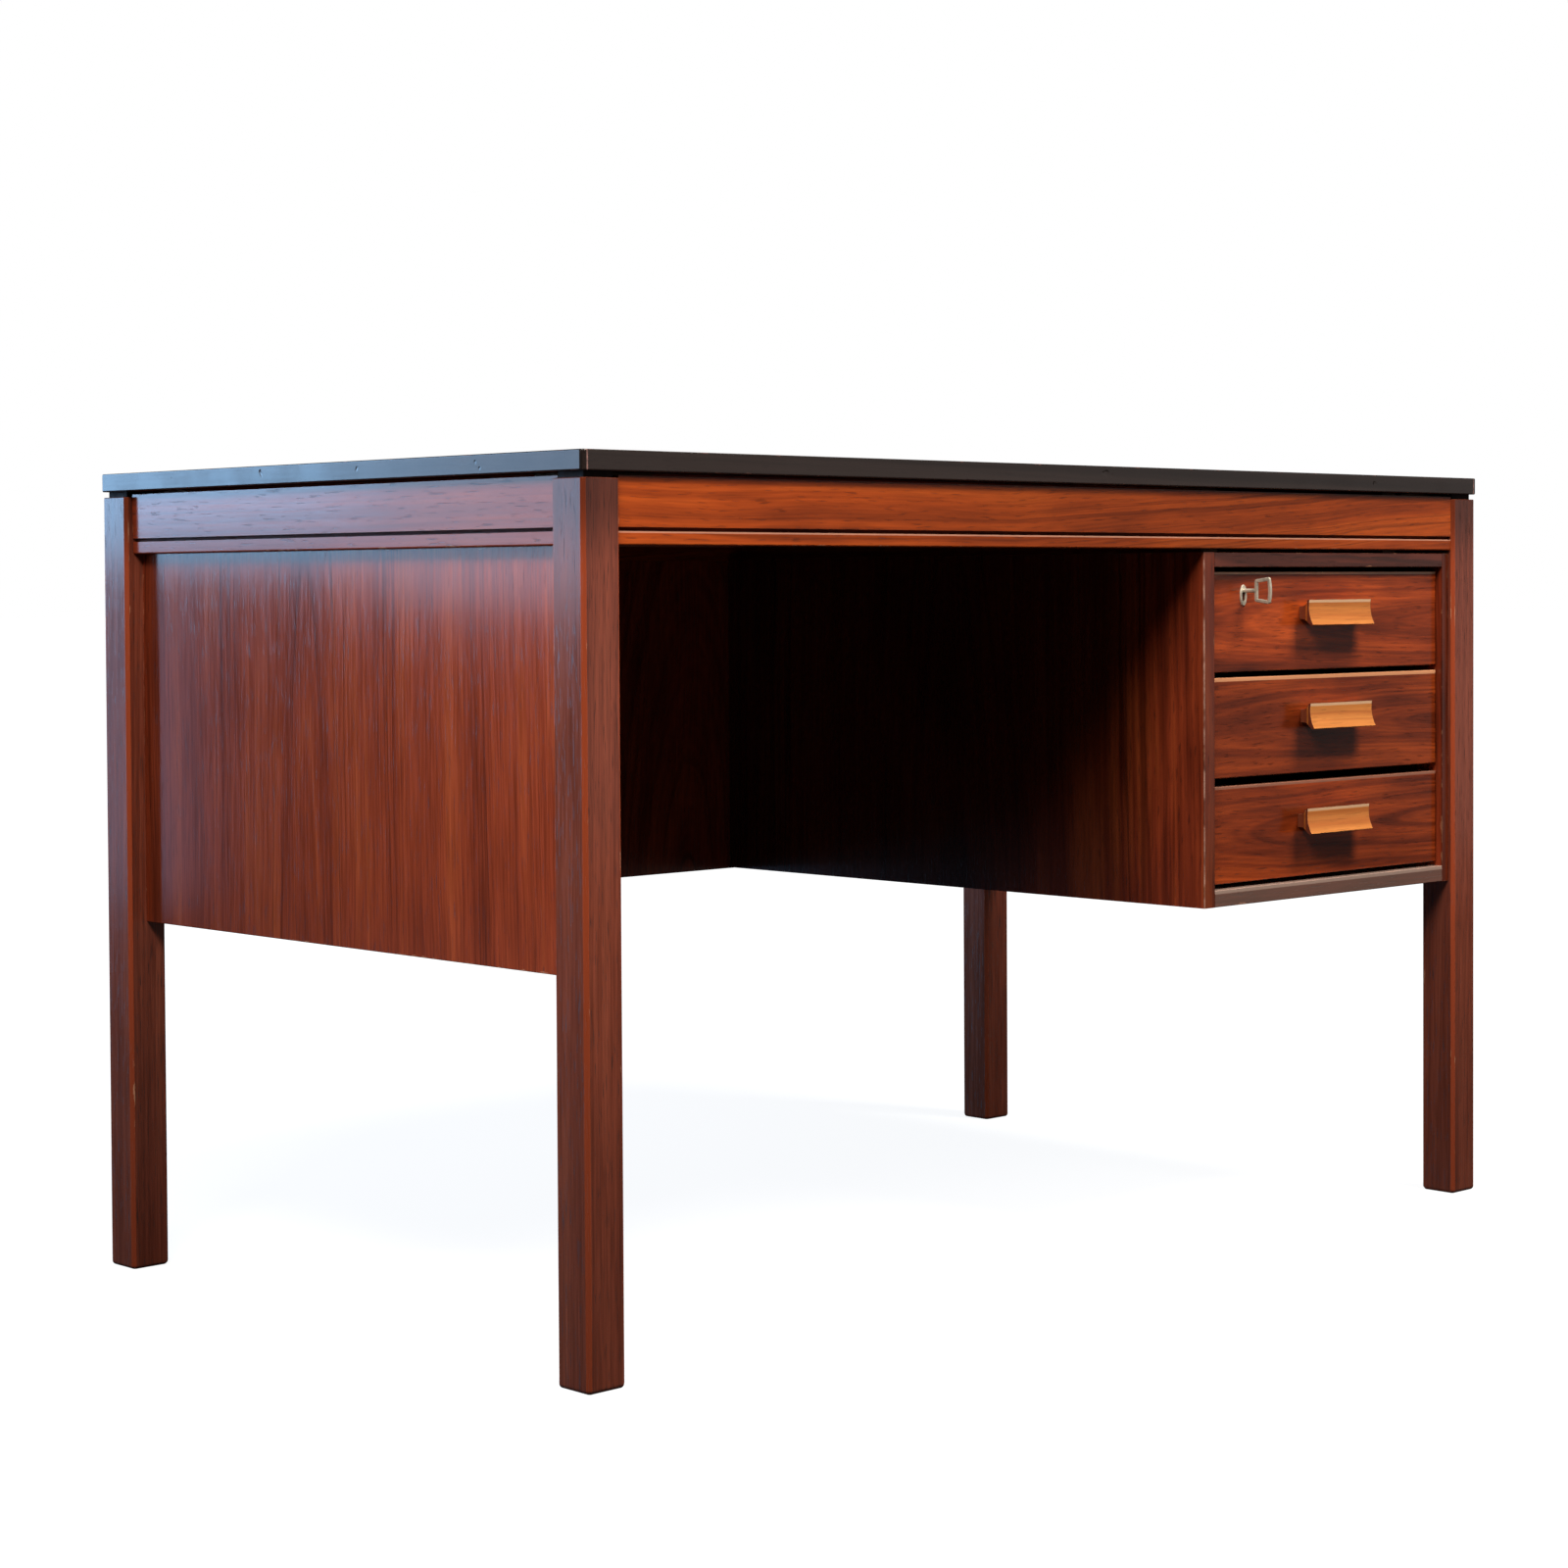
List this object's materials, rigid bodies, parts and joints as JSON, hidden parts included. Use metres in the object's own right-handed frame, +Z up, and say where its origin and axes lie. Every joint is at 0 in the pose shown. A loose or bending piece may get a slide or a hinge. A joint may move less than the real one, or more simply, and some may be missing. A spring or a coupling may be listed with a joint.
{
  "type": "writing desk",
  "caption": "Wooden writing desk on square legs with a thin floating top, panelled ends and back, a knee space and a hanging pedestal of drawers with a lock.",
  "frame": {"origin": "on the floor, under the middle of the whole object's bounding box", "axes": "+X along the desk's length with the drawer pedestal at the +X end, -Y towards the person who sits at it, +Z up"},
  "size_m": [1.2, 0.7102, 0.734],
  "materials": {
    "top_veneer": "satin",
    "top_edge": "satin",
    "black_spacer": "matt",
    "leg_wood": "satin",
    "apron_veneer": "satin",
    "panel_veneer": "satin",
    "pedestal_veneer": "satin",
    "drawer_veneer": "satin",
    "handle_oak": "satin",
    "drawer_box_wood": "matt",
    "drawer_plywood": "matt",
    "inner_hardwood": "matt",
    "dowel_beech": "matt",
    "screw_steel": "zinc plated",
    "nickel": "worn nickel",
    "lock_steel": "satin",
    "strike_brass": "satin"
  },
  "bodies": {
    "desk": {"apron_back": "apron_veneer", "apron_dowels": "dowel_beech", "apron_front": "apron_veneer", "apron_left": "apron_veneer", "apron_right": "apron_veneer", "back_panel": "panel_veneer", "corner_blocks": "inner_hardwood", "drawer_runners_left": "inner_hardwood", "drawer_runners_right": "inner_hardwood", "end_panel_left": "panel_veneer", "end_panel_right": "panel_veneer", "leg_back_left": "leg_wood", "leg_back_right": "leg_wood", "leg_front_left": "leg_wood", "leg_front_right": "leg_wood", "leg_top_spacers": "black_spacer", "panel_dowels": "dowel_beech", "pedestal_bottom": "pedestal_veneer", "pedestal_dowels": "dowel_beech", "pedestal_screws": "screw_steel", "pedestal_side_left": "pedestal_veneer", "pedestal_side_right": "pedestal_veneer", "pedestal_top": "pedestal_veneer", "runner_screws_left": "screw_steel", "runner_screws_right": "screw_steel", "strike_plate": "strike_brass", "strike_screws": "screw_steel", "tabletop": "top_veneer", "top_bearers": "inner_hardwood", "top_lipping_back": "top_edge", "top_lipping_front": "top_edge", "top_lipping_left": "top_edge", "top_lipping_right": "top_edge", "top_screws": "screw_steel"},
    "drawer_1": {"drawer_1_back": "drawer_box_wood", "drawer_1_bottom": "drawer_plywood", "drawer_1_front": "drawer_veneer", "drawer_1_handle": "handle_oak", "drawer_1_handle_screws": "screw_steel", "drawer_1_side_left": "drawer_box_wood", "drawer_1_side_right": "drawer_box_wood", "escutcheon": "nickel", "lock_case": "lock_steel", "lock_screws": "screw_steel"},
    "drawer_2": {"drawer_2_back": "drawer_box_wood", "drawer_2_bottom": "drawer_plywood", "drawer_2_front": "drawer_veneer", "drawer_2_handle": "handle_oak", "drawer_2_handle_screws": "screw_steel", "drawer_2_side_left": "drawer_box_wood", "drawer_2_side_right": "drawer_box_wood"},
    "drawer_3": {"drawer_3_back": "drawer_box_wood", "drawer_3_bottom": "drawer_plywood", "drawer_3_front": "drawer_veneer", "drawer_3_handle": "handle_oak", "drawer_3_handle_screws": "screw_steel", "drawer_3_side_left": "drawer_box_wood", "drawer_3_side_right": "drawer_box_wood"},
    "key": {"key": "nickel"},
    "lock_bolt": {"lock_bolt": "lock_steel"}
  },
  "joints": [
    {"name": "drawer_1_slide", "type": "slide", "parent": "desk", "child": "drawer_1", "axis": [0, -1, 0], "range_m": [0, 0.4]},
    {"name": "drawer_2_slide", "type": "slide", "parent": "desk", "child": "drawer_2", "axis": [0, -1, 0], "range_m": [0, 0.4]},
    {"name": "drawer_3_slide", "type": "slide", "parent": "desk", "child": "drawer_3", "axis": [0, -1, 0], "range_m": [0, 0.4]},
    {"name": "key_turn", "type": "hinge", "parent": "drawer_1", "child": "key", "pos_m": [0.232, -0.3211, 0.6205], "axis": [0, -1, 0], "range_deg": [0, 90]},
    {"name": "bolt_throw", "type": "slide", "parent": "drawer_1", "child": "lock_bolt", "axis": [0, 0, 1], "range_m": [0, 0.01]}
  ],
  "couplings": [
    {"joint": "key_turn", "follows": "bolt_throw", "rad_per_m": 157.08}
  ]
}
